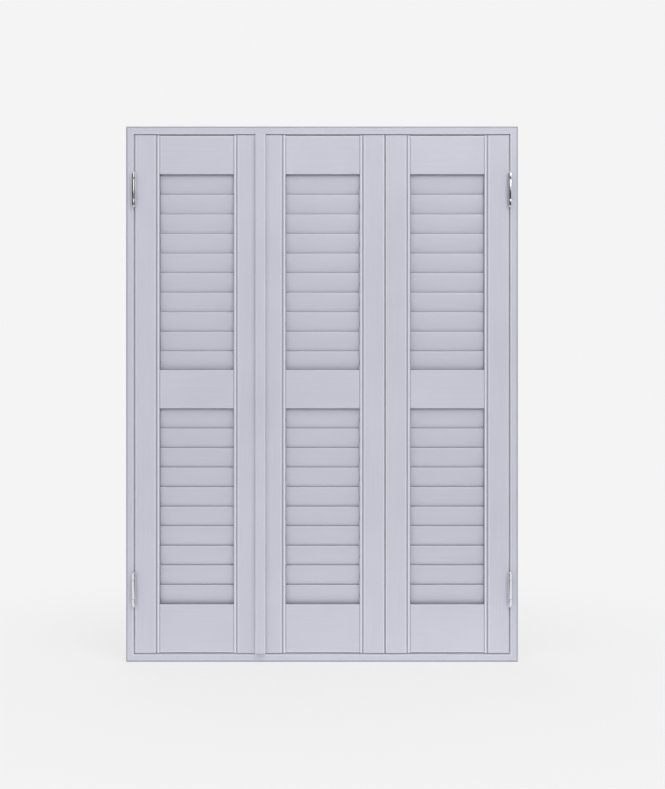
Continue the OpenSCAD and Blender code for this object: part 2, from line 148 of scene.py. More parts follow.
def mixShaders(tree, factor, first, second):
    node = addNode(tree, "ShaderNodeMixShader")
    join(tree, *factor, node, "Fac")
    join(tree, *first, node, 1)
    join(tree, *second, node, 2)
    return node, 0


def rampOf(tree, stops):
    ramp = addNode(tree, "ShaderNodeValToRGB")
    first, last = ramp.color_ramp.elements[0], ramp.color_ramp.elements[1]
    first.position, first.color = stops[0][0], (*stops[0][1], 1)
    last.position, last.color = stops[-1][0], (*stops[-1][1], 1)
    for place, colour in stops[1:-1]:
        ramp.color_ramp.elements.new(place).color = (*colour, 1)
    return ramp


def newFinish(name):
    finish = bpy.data.materials.new(name)
    finish.use_nodes = True
    return finish, finish.node_tree, finish.node_tree.nodes["Principled BSDF"]


# painted timber: brushed satin paint, with the brush marks along the grain
paintLook = {
    "tones": [                    # slow change in tone: place on the ramp, colour
        (0.30, (0.524, 0.524, 0.604)),
        (0.52, (0.556, 0.556, 0.638)),
        (0.74, (0.588, 0.588, 0.670)),
    ],
    "rubbed": (0.70, 0.70, 0.78),        # painted highlight on beads, eased edges and along the edges beside the gaps
    "dulled": {"X": (0.31, 0.31, 0.345), "Z": (0.375, 0.375, 0.415)},   # painted shade on outer and lower edges, by grain
    "dusty": (0.525, 0.525, 0.603),      # painted shade on the upper part of a louvre's face
    "grimy": (0.42, 0.42, 0.475),        # painted shade in the grooves beside the beads
    "ledge": (0.36, 0.36, 0.41),         # painted shade on the rails' edges towards the louvres and stiles, and at the meeting strip's foot
    "gap": (0.24, 0.24, 0.27),           # painted shade on the front of the sides that face a gap
    "cloud": 5.0,                 # scale of the slow change in tone, per metre
    "cloudDetail": 2.0,
    "brush": (950.0, 9.0, 3.0),   # brush marks per metre across and along the grain, and their detail
    "pores": (320.0, 6.0, 5.0),   # open grain that shows through the paint, in the same way
    "noiseRough": 0.6,
    "poreShare": 0.35,            # of the open grain in the tone
    "bump": 0.5,
    "brushDepth": 0.00009,
    "poreDepth": 0.00014,
    "brushSpan": (0.3, 0.7),      # part of the brush pattern that changes the gloss
    "rough": (0.40, 0.56),
}

# where painted highlights and painted shade go; a pair says where they start and where they are full
paintedLightPlaces = {
    "lines": {                    # from a stile's inner edge, half the width, share of it at full strength
        "shoulder": (0.0, 1.9 * mm, 0.5),        # painted shade where the rails meet the stiles
        # painted highlight along the bead
        "bead": (2.6 * mm, 1.8 * mm, 0.4),
        "groove": (6.0 * mm, 2.4 * mm, 0.6),     # painted shade in the groove beside the bead
        "lip": (9.3 * mm, 1.5 * mm, 0.4),        # the groove's outer lip, with a fainter painted highlight
    },
    "lipShare": 0.4,
    "depths": {                   # behind the stiles' face
        "bead": (3 * mm, 2 * mm),
        "shoulder": (8 * mm, 7 * mm),
        "grooveTop": (0.6 * mm, 2 * mm),
        "grooveFloor": (6 * mm, 4 * mm),
        "gap": (14 * mm, 0.0),
    },
    "slopes": {                   # how a surface is turned
        "face": (0.6, 0.9),              # size of the normal's Y
        "outerEdge": (-0.02, -0.30),     # product of two parts of the normal
        "roundedEdge": (0.05, 0.6),
        "ledge": (0.85, 0.98),           # size of the normal's Z
        "louvreDust": (-0.45, 0.2),      # this and the next three: the normal's Z on a louvre
        "lapTop": (-0.35, -0.42),
        "lapFoot": (-0.60, -0.46),
        "louvreTop": (0.25, 0.75),
    },
    "frontRebate": 2.0 * mm,      # from the frame's opening out to its edge at the front
    "edgeBand": 2.4 * mm,         # width of the painted highlight along an edge
    "edgeCore": 0.45,             # share of that width where it is full
    "footLine": 2.6 * mm,         # painted shade at the meeting strip's foot
    "footCore": 0.5,
    "gapSide": (0.9 * mm, 0.3 * mm),     # short of an edge, where the side of a gap begins
}
stileLow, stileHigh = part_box("left_hinge_stile")
timber = {
    "faceY": stileLow.y,          # the stiles' face
    "stileEdge": panelMiddles["left"] - stileLow.x,      # from a panel's middle to its long edges
    "stileInner": panelMiddles["left"] - stileHigh.x,    # and to the stiles' inner edges
    "railEdge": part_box("left_top_rail")[1].z - midZ,     # from the frame's middle to the panels' ends
    "openingEdge": {              # and to the opening's edge at the front, of head and sill, and of the jambs
        "X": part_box("head")[0].z - midZ + paintedLightPlaces["frontRebate"],
        "Z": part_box("right_jamb")[0].x - midX + paintedLightPlaces["frontRebate"],
    },
}


# painted highlights and painted shade, laid over the paint's tone
def paintedLightAndShade(tree, place, colour, along, use, middle, panelX):
    # rounded edges turn two ways at once, flat faces only one:
    # the product of two parts of the normal finds them
    normal = addNode(tree, "ShaderNodeSeparateXYZ")
    join(tree, place, "Normal", normal, 0)
    spot = addNode(tree, "ShaderNodeSeparateXYZ")
    join(tree, place, "Object", spot, 0)
    across = "X" if along == "Z" else "Z"

    def times(first, second):
        return mathNode(tree, "MULTIPLY", first, second)

    def larger(first, second):
        return mathNode(tree, "MAXIMUM", first, second)

    def sizeOf(value):
        return mathNode(tree, "ABSOLUTE", value)

    def sloped(value, name):
        return ranged(tree, value, paintedLightPlaces["slopes"][name])

    def painted(factor, look):
        return mixColour(tree, factor, colour, look)

    if use == "louvre":
        # painted shade on the upper face and at the lap, painted highlight on the top edge
        colour = painted(sloped((normal, "Z"), "louvreDust"), paintLook["dusty"])
        lap = times(sloped((normal, "Z"), "lapTop"), sloped((normal, "Z"), "lapFoot"))
        colour = painted(lap, paintLook["dulled"][along])
        return painted(sloped((normal, "Z"), "louvreTop"), paintLook["rubbed"])

    turn = times((normal, "Y"), (normal, across))
    fromMiddle = mathNode(tree, "SUBTRACT", (spot, across), middle)
    away = sizeOf(fromMiddle)
    facing = sloped(sizeOf((normal, "Y")), "face")

    def behindFace(name):
        start, full = paintedLightPlaces["depths"][name]
        return ranged(tree, (spot, "Y"), (timber["faceY"] + start, timber["faceY"] + full))

    def highlightLine(edge, inward):
        # a painted highlight on the face along an edge, on the side away from the middle or towards it
        width = inward * paintedLightPlaces["edgeBand"]
        return times(ranged(tree, away, (edge - width, edge - paintedLightPlaces["edgeCore"] * width)), facing)

    def lineAt(distance, name):
        # 1 along the line that paintedLightPlaces names, fading over the outer part of its width
        outward, half, core = paintedLightPlaces["lines"][name]
        off = sizeOf(mathNode(tree, "SUBTRACT", distance, timber["stileInner"] + outward))
        return ranged(tree, off, (half, core * half))

    def gapShadeMask(edge, inward):
        # painted shade on the front of the side that faces a gap
        start, full = paintedLightPlaces["gapSide"]
        beyond = ranged(tree, away, (edge - inward * start, edge - inward * full))
        side = larger(mathNode(tree, "SUBTRACT", beyond, facing), 0.0)
        return times(side, behindFace("gap"))

    if use == "frame":
        outward = times(turn, mathNode(tree, "SIGN", fromMiddle))
        opening = timber["openingEdge"][along]
        # painted shade on the outer rounded edges and on the gap side of the opening, painted highlight on
        # rounded edges and along the opening
        colour = painted(sloped(outward, "outerEdge"), paintLook["dulled"][along])
        colour = painted(gapShadeMask(opening, -1), paintLook["gap"])
        return painted(larger(sloped(outward, "roundedEdge"), highlightLine(opening, -1)), paintLook["rubbed"])
    edge = sloped(sizeOf(turn), "roundedEdge")
    if use == "rail":
        # painted shade on the rails' upper and lower faces and at the shoulders, painted highlight along the
        # panels' ends
        colour = painted(sloped(sizeOf((normal, "Z")), "ledge"), paintLook["ledge"])
        edge = larger(edge, highlightLine(timber["railEdge"], 1))
        fromPanel = sizeOf(mathNode(tree, "SUBTRACT", (spot, "X"), panelX))
        colour = painted(times(lineAt(fromPanel, "shoulder"), behindFace("shoulder")), paintLook["ledge"])
    if use == "strip":
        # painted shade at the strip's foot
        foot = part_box("meeting_strip")[0].z
        footSpan = (foot + paintedLightPlaces["footLine"], foot + paintedLightPlaces["footCore"] * paintedLightPlaces["footLine"])
        colour = painted(ranged(tree, (spot, "Z"), footSpan), paintLook["ledge"])
    if use == "stile":
        # painted highlight along the long edges, bead and lip; painted shade on the gap side, in the groove
        # and at the shoulders
        edge = larger(edge, highlightLine(timber["stileEdge"], 1))
        colour = painted(gapShadeMask(timber["stileEdge"], 1), paintLook["gap"])
        front = behindFace("bead")
        edge = larger(edge, times(lineAt(away, "bead"), front))
        edge = larger(edge, times(times(lineAt(away, "lip"), front), paintedLightPlaces["lipShare"]))
        deep = times(behindFace("grooveTop"), behindFace("grooveFloor"))
        colour = painted(times(lineAt(away, "groove"), deep), paintLook["grimy"])
        colour = painted(times(lineAt(away, "shoulder"), behindFace("shoulder")), paintLook["ledge"])
    # painted highlight on the rounded edges and along the lines found above
    return painted(edge, paintLook["rubbed"])


def paintedTimber(name, along, use, middle=0.0, panelX=0.0):
    finish, tree, shader = newFinish(name)
    place = addNode(tree, "ShaderNodeTexCoord")

    def stretched(across, length, detail):
        size = [across, across, across]
        size["XYZ".index(along)] = length
        turn = addNode(tree, "ShaderNodeMapping", Scale=size)
        join(tree, place, "Object", turn, "Vector")
        noise = addNode(tree, "ShaderNodeTexNoise", Scale=1.0, Detail=detail,
                        Roughness=paintLook["noiseRough"])
        join(tree, turn, "Vector", noise, "Vector")
        return noise

    brush = stretched(*paintLook["brush"])
    pores = stretched(*paintLook["pores"])
    cloud = addNode(tree, "ShaderNodeTexNoise", Scale=paintLook["cloud"], Detail=paintLook["cloudDetail"])
    join(tree, place, "Object", cloud, "Vector")

    tones = rampOf(tree, paintLook["tones"])
    mix = addNode(tree, "ShaderNodeMix", data_type="FLOAT")
    mix.inputs[0].default_value = paintLook["poreShare"]
    join(tree, cloud, "Fac", mix, 2)     # sockets 2 and 3 are this node's two numbers
    join(tree, pores, "Fac", mix, 3)
    join(tree, mix, 0, tones, "Fac")
    colour = paintedLightAndShade(tree, place, (tones, "Color"), along, use, middle, panelX)
    join(tree, *colour, shader, "Base Color")

    gloss = ranged(tree, (brush, "Fac"), paintLook["brushSpan"], paintLook["rough"], "LINEAR")
    join(tree, *gloss, shader, "Roughness")

    grainBump = addNode(tree, "ShaderNodeBump", Strength=paintLook["bump"], Distance=paintLook["poreDepth"])
    join(tree, pores, "Fac", grainBump, "Height")
    brushBump = addNode(tree, "ShaderNodeBump", Strength=paintLook["bump"], Distance=paintLook["brushDepth"])
    join(tree, brush, "Fac", brushBump, "Height")
    join(tree, grainBump, "Normal", brushBump, "Normal")
    join(tree, brushBump, "Normal", shader, "Normal")
    return finish


# bare metals: polished hinges, drawn tilt bars, dull zinc clips, and the magnets' dark housing
metalLook = {
    "polished": {"dark": (0.78, 0.78, 0.80), "pale": (0.92, 0.92, 0.93), "rough": (0.03, 0.12),
                 "marks": (1500.0, 1500.0, 45.0), "depth": 0.00001, "metallic": 1.0},
    "drawn": {"dark": (0.47, 0.48, 0.50), "pale": (0.66, 0.67, 0.69), "rough": (0.26, 0.42),
              "marks": (2200.0, 2200.0, 10.0), "depth": 0.00004, "metallic": 1.0},
    "zinc": {"dark": (0.36, 0.37, 0.40), "pale": (0.60, 0.61, 0.64), "rough": (0.32, 0.55),
             "marks": (600.0, 600.0, 600.0), "depth": 0.00005, "metallic": 1.0},
    "housing": {"dark": (0.030, 0.030, 0.033), "pale": (0.065, 0.065, 0.070), "rough": (0.45, 0.70),
                "marks": (1500.0, 1500.0, 1500.0), "depth": 0.00006, "metallic": 0.0},
}
metalMarks = {
    "detail": 4.0,
    "noiseRough": 0.65,
    "darkAt": 0.25,               # places on the ramp
    "paleAt": 0.6,
    "bump": 0.4,
}


def metalFinish(name, look):
    finish, tree, shader = newFinish(name)
    place = addNode(tree, "ShaderNodeTexCoord")
    turn = addNode(tree, "ShaderNodeMapping", Scale=look["marks"])
    join(tree, place, "Object", turn, "Vector")
    marks = addNode(tree, "ShaderNodeTexNoise", Scale=1.0, Detail=metalMarks["detail"],
                    Roughness=metalMarks["noiseRough"])
    join(tree, turn, "Vector", marks, "Vector")
    tones = rampOf(tree, [(metalMarks["darkAt"], look["dark"]), (metalMarks["paleAt"], look["pale"])])
    join(tree, marks, "Fac", tones, "Fac")
    join(tree, tones, "Color", shader, "Base Color")
    gloss = ranged(tree, (marks, "Fac"), (0.0, 1.0), look["rough"], "LINEAR")
    join(tree, *gloss, shader, "Roughness")
    bump = addNode(tree, "ShaderNodeBump", Strength=metalMarks["bump"], Distance=look["depth"])
    join(tree, marks, "Fac", bump, "Height")
    join(tree, bump, "Normal", shader, "Normal")
    shader.inputs["Metallic"].default_value = look["metallic"]
    return finish


jambPaint = paintedTimber("jambPaint", "Z", "frame")
headPaint = paintedTimber("headPaint", "X", "frame", midZ)
stilePaint = {panel: paintedTimber(panel + "StilePaint", "Z", "stile", x)
              for panel, x in panelMiddles.items()}
railPaint = {panel: paintedTimber(panel + "RailPaint", "X", "rail", midZ, x)
             for panel, x in panelMiddles.items()}
stopPaint = paintedTimber("stopPaint", "X", "strip", midZ)
stripPaint = paintedTimber("stripPaint", "Z", "strip")
louvrePaint = paintedTimber("louvrePaint", "X", "louvre")
polishedHinge = metalFinish("polishedHinge", metalLook["polished"])
drawnBar = metalFinish("drawnBar", metalLook["drawn"])
zincClip = metalFinish("zincClip", metalLook["zinc"])
magnetHousing = metalFinish("magnetHousing", metalLook["housing"])
print("finishes made")


# timber and tilt bars keep their solids
def finishNode(name, finish):
    slots = nodes[name].material_slots
    if not slots:
        nodes[name].data.materials.append(finish)
    for one in slots:
        one.material = finish


for name in nodes:
    if name.endswith("_stile"):
        finishNode(name, stilePaint[name.split("_")[0]])
    elif name.endswith("_rail"):
        finishNode(name, railPaint[name.split("_")[0]])
    elif name == "end_light_stops":
        finishNode(name, stopPaint)
    elif name.endswith("_jamb"):
        finishNode(name, jambPaint)
    elif name in ("head", "sill"):
        finishNode(name, headPaint)
    elif name in ("side_light_stops", "meeting_strip"):
        finishNode(name, stripPaint)
    elif "tilt_bar" in name:
        finishNode(name, drawnBar)
print("timber and bars finished")


# rows of a piece, for the louvres, hinges, screws and catches
def rowTree():
    tree = bpy.data.node_groups.new("piecesInRows", "GeometryNodeTree")
    kinds = [("Piece", "NodeSocketGeometry"), ("Count", "NodeSocketInt"), ("Step", "NodeSocketVector"),
             ("Zigzag", "NodeSocketVector"), ("Sets", "NodeSocketInt"), ("Set Step", "NodeSocketVector"),
             ("Finish", "NodeSocketMaterial")]
    for label, kind in kinds:
        tree.interface.new_socket(label, in_out="INPUT", socket_type=kind)
    tree.interface.new_socket("Pieces", in_out="OUTPUT", socket_type="NodeSocketGeometry")
    given = tree.nodes.new("NodeGroupInput")
    result = tree.nodes.new("NodeGroupOutput")

    row = addNode(tree, "GeometryNodeMeshLine", mode="OFFSET")
    join(tree, given, "Count", row, "Count")
    join(tree, given, "Step", row, "Offset")
    index = tree.nodes.new("GeometryNodeInputIndex")
    odd = mathNode(tree, "MODULO", (index, "Index"), 2)
    shift = addNode(tree, "ShaderNodeVectorMath", operation="SCALE")
    join(tree, given, "Zigzag", shift, 0)
    join(tree, *odd, shift, "Scale")
    bent = tree.nodes.new("GeometryNodeSetPosition")
    join(tree, row, "Mesh", bent, "Geometry")
    join(tree, shift, 0, bent, "Offset")
    onRow = tree.nodes.new("GeometryNodeInstanceOnPoints")
    join(tree, bent, "Geometry", onRow, "Points")
    join(tree, given, "Piece", onRow, "Instance")

    sets = addNode(tree, "GeometryNodeMeshLine", mode="OFFSET")
    join(tree, given, "Sets", sets, "Count")
    join(tree, given, "Set Step", sets, "Offset")
    onSets = tree.nodes.new("GeometryNodeInstanceOnPoints")
    join(tree, sets, "Mesh", onSets, "Points")
    join(tree, onRow, "Instances", onSets, "Instance")

    real = tree.nodes.new("GeometryNodeRealizeInstances")
    painted = tree.nodes.new("GeometryNodeSetMaterial")
    join(tree, onSets, "Instances", real, "Geometry")
    join(tree, real, "Geometry", painted, "Geometry")
    join(tree, given, "Finish", painted, "Material")
    join(tree, painted, "Geometry", result, "Pieces")
    return tree


piecesInRows = rowTree()


def inRows(name, mesh, finish, body, count=1, step=(0, 0, 0), zigzag=(0, 0, 0),
           sets=1, setStep=(0, 0, 0)):
    piece = bpy.data.objects.new(name, mesh)
    scene.collection.objects.link(piece)
    modifier = piece.modifiers.new("rows", "NODES")
    modifier.node_group = piecesInRows
    wanted = {"Count": count, "Step": step, "Zigzag": zigzag,
              "Sets": sets, "Set Step": setStep, "Finish": finish}
    for socket in piecesInRows.interface.items_tree:
        if socket.in_out == "INPUT" and socket.name in wanted:
            modifier[socket.identifier] = wanted[socket.name]
    bpy.context.view_layer.update()
    depsgraph = bpy.context.evaluated_depsgraph_get()
    plain = bpy.data.meshes.new_from_object(piece.evaluated_get(depsgraph), depsgraph=depsgraph)
    piece.modifiers.clear()
    piece.data = plain
    plain.name = name
    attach(piece, body)
    return piece


# small helpers for meshes
smoothAngle = 32                  # degrees, past which an edge stays sharp
noRadius = 1e-7                   # metres, below which a lathe profile is on its axis


def meshFrom(bm, name):
    bmesh.ops.recalc_face_normals(bm, faces=bm.faces)
    mesh = bpy.data.meshes.new(name)
    bm.to_mesh(mesh)
    bm.free()
    mesh.shade_smooth()
    mesh.set_sharp_from_angle(angle=math.radians(smoothAngle))
    return mesh


def arcPoints(cx, cy, r, start, end, steps):
    turns = [math.radians(start + (end - start) * i / steps) for i in range(steps + 1)]
    return [(cx + r * math.cos(a), cy + r * math.sin(a)) for a in turns]


def band(bm, one, two):
    # faces between two closed rings with as many points
    for k in range(len(one)):
        n = (k + 1) % len(one)
        bm.faces.new([one[k], one[n], two[n], two[k]])


def turned(bm, profile, centre, axis, steps):
    # lathe profile of (radius, height) pairs round an axis through centre
    side = Vector((1, 0, 0)) if abs(axis.x) < 0.5 else Vector((0, 1, 0))
    other = axis.cross(side)
    turns = [2 * math.pi * k / steps for k in range(steps)]
    rings = []
    for radius, height in profile:
        middle = centre + axis * height
        if radius < noRadius:
            rings.append([bm.verts.new(middle)])
            continue
        rings.append([bm.verts.new(middle + side * (radius * math.cos(a)) + other * (radius * math.sin(a)))
                      for a in turns])
    pairs = list(zip(rings, rings[1:]))
    if profile[0][0] > noRadius and profile[-1][0] > noRadius:
        pairs.append((rings[-1], rings[0]))
    for one, two in pairs:
        for k in range(steps):
            n = (k + 1) % steps
            corners = [one[k % len(one)], one[n % len(one)], two[n % len(two)], two[k % len(two)]]
            corners = [v for i, v in enumerate(corners) if v not in corners[:i]]
            bm.faces.new(corners)


def extruded(bm, outline, low, high, place):
    # outline of (u, v) pairs, drawn out from low to high, set in the part by place(u, v, w)
    front = [bm.verts.new(place(u, v, low)) for u, v in outline]
    back = [bm.verts.new(place(u, v, high)) for u, v in outline]
    bm.faces.new(front)
    bm.faces.new(back)
    band(bm, front, back)


# louvres: lens-shaped blades, lapping when shut
louvre = {
    "width": 47.0 * mm,
    "thick": 10.0 * mm,
    "edge": 1.6 * mm,             # radius of the long edges
    "endRound": 0.35 * mm,        # eased ends
    "tilt": 9.5975,               # degrees, shut
    "count": 10,                  # in a bank
    "arcSteps": 14,
    "edgeSteps": 8,
    "endSteps": 4,
}
fitting = {
    "pivotR": 3.0 * mm,
    "pivotLen": 10.0 * mm,
    "pivotBevel": 0.3 * mm,
    "pivotSteps": 24,
    "intoBlade": 2.0 * mm,        # how far the pivots run on inside the blade
    "endGap": 0.6 * mm,           # between the blade's end and the stile
    "washerR": 4.1 * mm,
    "washerFrom": 0.5 * mm,       # its two faces, out from the blade's end
    "washerTo": 0.1 * mm,
    "washerBevel": 0.1 * mm,
    "clipX": 23.4 * mm,           # from the blade's end to the clip
    "clipReach": 26.3 * mm,       # from the louvre's axis to the clip's pin
    "tabR": 2.0 * mm,
    "tabThick": 2.0 * mm,
    "tabIn": 1.2 * mm,            # how far the clip's tab runs into the blade
    "tabSteps": 12,
    "pinR": 1.0 * mm,
    "pinLen": 7.2 * mm,
    "pinBevel": 0.2 * mm,
    "pinSteps": 16,
}
pivotOut = fitting["endGap"] + fitting["pivotLen"]     # how far a pivot stands out from its blade
louvreLow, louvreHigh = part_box("left_louvre_01")
bladeLen = louvreHigh.x - louvreLow.x - 2 * pivotOut


def lensOutline(inset):
    half = louvre["thick"] / 2
    tip = louvre["width"] / 2 - louvre["edge"]
    r = (tip ** 2 + half ** 2 - louvre["edge"] ** 2) / (2 * (half - louvre["edge"]))
    drop = r - half
    sweep = math.degrees(math.asin(tip / (r - louvre["edge"])))
    wide, small = r - inset, louvre["edge"] - inset
    n, e = louvre["arcSteps"], louvre["edgeSteps"]
    points = arcPoints(-drop, 0, wide, -sweep, sweep, n)[:-1]
    points += arcPoints(0, tip, small, sweep, 180 - sweep, e)[:-1]
    points += arcPoints(drop, 0, wide, 180 - sweep, 180 + sweep, n)[:-1]
    points += arcPoints(0, -tip, small, 180 + sweep, 360 - sweep, e)[:-1]
    return points


def louvrePlace(panel, number):
    # left end of a blade's axis; the banks line up across the three panels
    axis = jointAt["louvre_%02d" % number]
    return Vector((panelMiddles[panel] - bladeLen / 2, axis.y, axis.z))


def shutMesh(bm, name, place):
    turn = Matrix.Rotation(math.radians(louvre["tilt"]), 4, "X")
    bmesh.ops.transform(bm, matrix=Matrix.Translation(place) @ turn, verts=bm.verts)
    return meshFrom(bm, name)


def bladeMesh(name, place):
    bm = bmesh.new()
    ease, n = louvre["endRound"], louvre["endSteps"]
    stations = []
    for i in range(n + 1):
        a = math.radians(90 * i / n)
        stations.append((ease * (1 - math.cos(a)), ease * (1 - math.sin(a))))
    stations += [(bladeLen - x, inset) for x, inset in reversed(stations)]
    rings = [[bm.verts.new((x, y, z)) for y, z in lensOutline(inset)] for x, inset in stations]
    for one, two in zip(rings, rings[1:]):
        band(bm, one, two)
    bm.faces.new(rings[0])
    bm.faces.new(rings[-1])
    return shutMesh(bm, name, place)


def fittingMesh(name, place):
    # a pivot with its washer at each end, and the clip for the tilt bar
    bm = bmesh.new()
    r, bevel = fitting["pivotR"], fitting["pivotBevel"]
    end = pivotOut + fitting["intoBlade"]
    washer, ease = fitting["washerR"], fitting["washerBevel"]
    near, far = pivotOut - fitting["washerFrom"], pivotOut - fitting["washerTo"]
    pivot = [(0, 0), (r - bevel, 0), (r, bevel), (r, near), (washer - ease, near), (washer, near + ease),
             (washer, far - ease), (washer - ease, far), (r, far), (r, end), (0, end)]
    turned(bm, pivot, Vector((-pivotOut, 0, 0)), Vector((1, 0, 0)), fitting["pivotSteps"])
    turned(bm, pivot, Vector((bladeLen + pivotOut, 0, 0)), Vector((-1, 0, 0)), fitting["pivotSteps"])

    x, reach = fitting["clipX"], fitting["clipReach"]
    t, halfThick = fitting["tabR"], fitting["tabThick"] / 2
    top = fitting["tabIn"] - louvre["width"] / 2
    tab = arcPoints(0, -reach, t, 180, 360, fitting["tabSteps"]) + [(t, top), (-t, top)]
    extruded(bm, tab, x - halfThick, x + halfThick, lambda u, v, w: (w, u, v))
    p, half, ease = fitting["pinR"], fitting["pinLen"] / 2, fitting["pinBevel"]
    pin = [(0, -half), (p - ease, -half), (p, ease - half), (p, half - ease), (p - ease, half), (0, half)]
    turned(bm, pin, Vector((x, 0, -reach)), Vector((1, 0, 0)), fitting["pinSteps"])
    return shutMesh(bm, name, place)


def makeLouvres():
    count = louvre["count"]
    for i in range(1, 2 * count + 1):
        number = "%02d" % i
        place = louvrePlace("left", i)
        blade = inRows("left_louvre_blade_" + number, bladeMesh("blade", place), louvrePaint,
                       "louvre_" + number)
        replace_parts(blade, "left_louvre_" + number)
        inRows("left_louvre_fittings_" + number, fittingMesh("fittings", place), zincClip,
               "louvre_" + number)
    for panel in ("middle", "right"):
        for level, first in (("upper", 1), ("lower", count + 1)):
            place = louvrePlace(panel, first)
            last = louvrePlace(panel, first + count - 1)
            down = (0, 0, (last.z - place.z) / (count - 1))
            label = panel + "_" + level + "_louvre"
            blades = inRows(label + "_blades", bladeMesh("blade", place), louvrePaint,
                            panel + "_panel", count=count, step=down)
            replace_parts(blades, label + "s")
            inRows(label + "_fittings", fittingMesh("fittings", place), zincClip,
                   panel + "_panel", count=count, step=down)


makeLouvres()
print("louvres made")


# butt hinges: leaves with countersunk holes, knuckles and a pin with ball tips
hinge = {
    "knuckleR": 4.5 * mm,
    "boreR": 2.55 * mm,
    "chamfer": 0.45 * mm,
    "crown": 0.008,               # how far a knuckle's middle stands proud, as a share of its length
    "crownSteps": 10,
    "turnSteps": 40,
    "halfLen": 33.0 * mm,
    "endLen": 12.6 * mm,          # each outer knuckle
    "gap": 0.4 * mm,              # between knuckles, and between the shut leaves
    "leafThick": 1.3 * mm,
    "leafStart": 6.0 * mm,
    "leafWide": 16.0 * mm,
    "neckStart": 2.75 * mm,
    "neckLap": 0.1 * mm,          # how far a neck runs into its leaf
    "pinR": 2.5 * mm,
    "pinEnd": 0.05 * mm,          # from the knuckles to the pin's collars
    "collarR": 3.3 * mm,
    "collarH": 0.9 * mm,
    "collarEase": 0.25 * mm,      # edge towards the knuckles
    "collarIn": 0.4 * mm,         # edge towards the ball
    "collarDrop": 0.3 * mm,
    "ballR": 2.6 * mm,
    "ballStep": 15,               # degrees
}
leavesLow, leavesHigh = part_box("frame_hinge_leaves")
upperHinges = leavesHigh.z - hinge["halfLen"]
lowerHinges = leavesLow.z + hinge["halfLen"]
screw = {
    "headR": 3.1 * mm,
    "shankR": 1.6 * mm,
    "holeGap": 0.05 * mm,         # round the head and the shank
    "holeSteps": 20,
    "below": 0.06 * mm,           # head below the plate's face
    "rimWide": 0.25 * mm,         # eased rim of the head
    "rimDrop": 0.12 * mm,
    "armLen": 1.75 * mm,          # cross recess
    "armHalf": 0.42 * mm,
    "recess": 0.75 * mm,
    "recessFloor": 0.8,           # size of its floor, as a share of its mouth
    "perLeaf": 3,
    "rise": 21.0 * mm,            # between the screws of a leaf
    "nearY": 5.0 * mm,            # from the leaf's start to the outer screws
    "zigzag": 6.0 * mm,
}


def plateWithHoles(bm, low, high, holes, thick, place):
    corners = [(low[0], low[1]), (high[0], low[1]), (high[0], high[1]), (low[0], high[1])]
    rims = []
    for depth, r in ((0, screw["headR"] + screw["holeGap"]), (thick, screw["shankR"] + screw["holeGap"])):
        loops = [corners] + [arcPoints(u, v, r, 0, 360, screw["holeSteps"])[:-1] for u, v in holes]
        made = [[bm.verts.new(place(u, v, depth)) for u, v in loop] for loop in loops]
        flat = [v for loop in made for v in loop]
        for triangle in tessellate_polygon([[Vector((u, v, 0)) for u, v in loop] for loop in loops]):
            bm.faces.new([flat[i] for i in triangle])
        rims.append(made)
    for one, two in zip(*rims):
        band(bm, one, two)


def screwHead(bm, u, v, thick, place):
    # countersunk head with a cross recess, its face towards the viewer of the plate
    a, b = screw["armLen"], screw["armHalf"]
    cross = [(a, -b), (a, b), (b, b), (b, a), (-b, a), (-b, b),
             (-a, b), (-a, -b), (-b, -b), (-b, -a), (b, -a), (b, -b)]
    sides = len(cross)
    angles = [math.atan2(y, x) for x, y in cross]
    ring = []                     # two points of the rim for each side of the cross
    for k, start in enumerate(angles):
        span = (angles[(k + 1) % sides] - start) % (2 * math.pi)
        ring += [start, start + span / 2]

    def circle(r, w):
        return [bm.verts.new(place(u + r * math.cos(t), v + r * math.sin(t), w)) for t in ring]

    def crossAt(share, w):
        return [bm.verts.new(place(u + share * x, v + share * y, w)) for x, y in cross]

    top = screw["below"]
    rimIn = circle(screw["headR"] - screw["rimWide"], top)
    rimOut = circle(screw["headR"], top + screw["rimDrop"])
    foot = circle(screw["shankR"], thick)
    mouth = crossAt(1.0, top)
    floor = crossAt(screw["recessFloor"], top + screw["recess"])
    for k in range(sides):
        n = (k + 1) % sides
        bm.faces.new([mouth[k], mouth[n], rimIn[2 * n], rimIn[2 * k + 1], rimIn[2 * k]])
    band(bm, mouth, floor)
    band(bm, rimIn, rimOut)
    band(bm, rimOut, foot)
    bm.faces.new(floor)
    bm.faces.new(foot)


def leafScrewPlaces():
    # from the top down, with the middle one further from the knuckles
    u, v = hinge["leafStart"] + screw["nearY"], screw["rise"]
    return [(u + k % 2 * screw["zigzag"], v - k * screw["rise"]) for k in range(screw["perLeaf"])]


def knuckleProfile(low, high):
    # slightly barrelled, so that each knuckle has its own highlight
    r, b, c = hinge["knuckleR"], hinge["boreR"], hinge["chamfer"]
    crown, steps = hinge["crown"] * (high - low), hinge["crownSteps"]
    barrel = []
    for i in range(steps + 1):
        t = i / steps
        barrel.append((r - crown * (2 * t - 1) ** 2, low + c + (high - low - 2 * c) * t))
    end = barrel[0][0] - c
    return [(b, low), (end, low)] + barrel + [(end, high), (b, high)]


def leafPlace(outer):
    # u runs along the leaf, v up, w into the timber
    side = 1 if outer else -1
    return lambda u, v, w: (side * (hinge["gap"] / 2 + w), u, v)


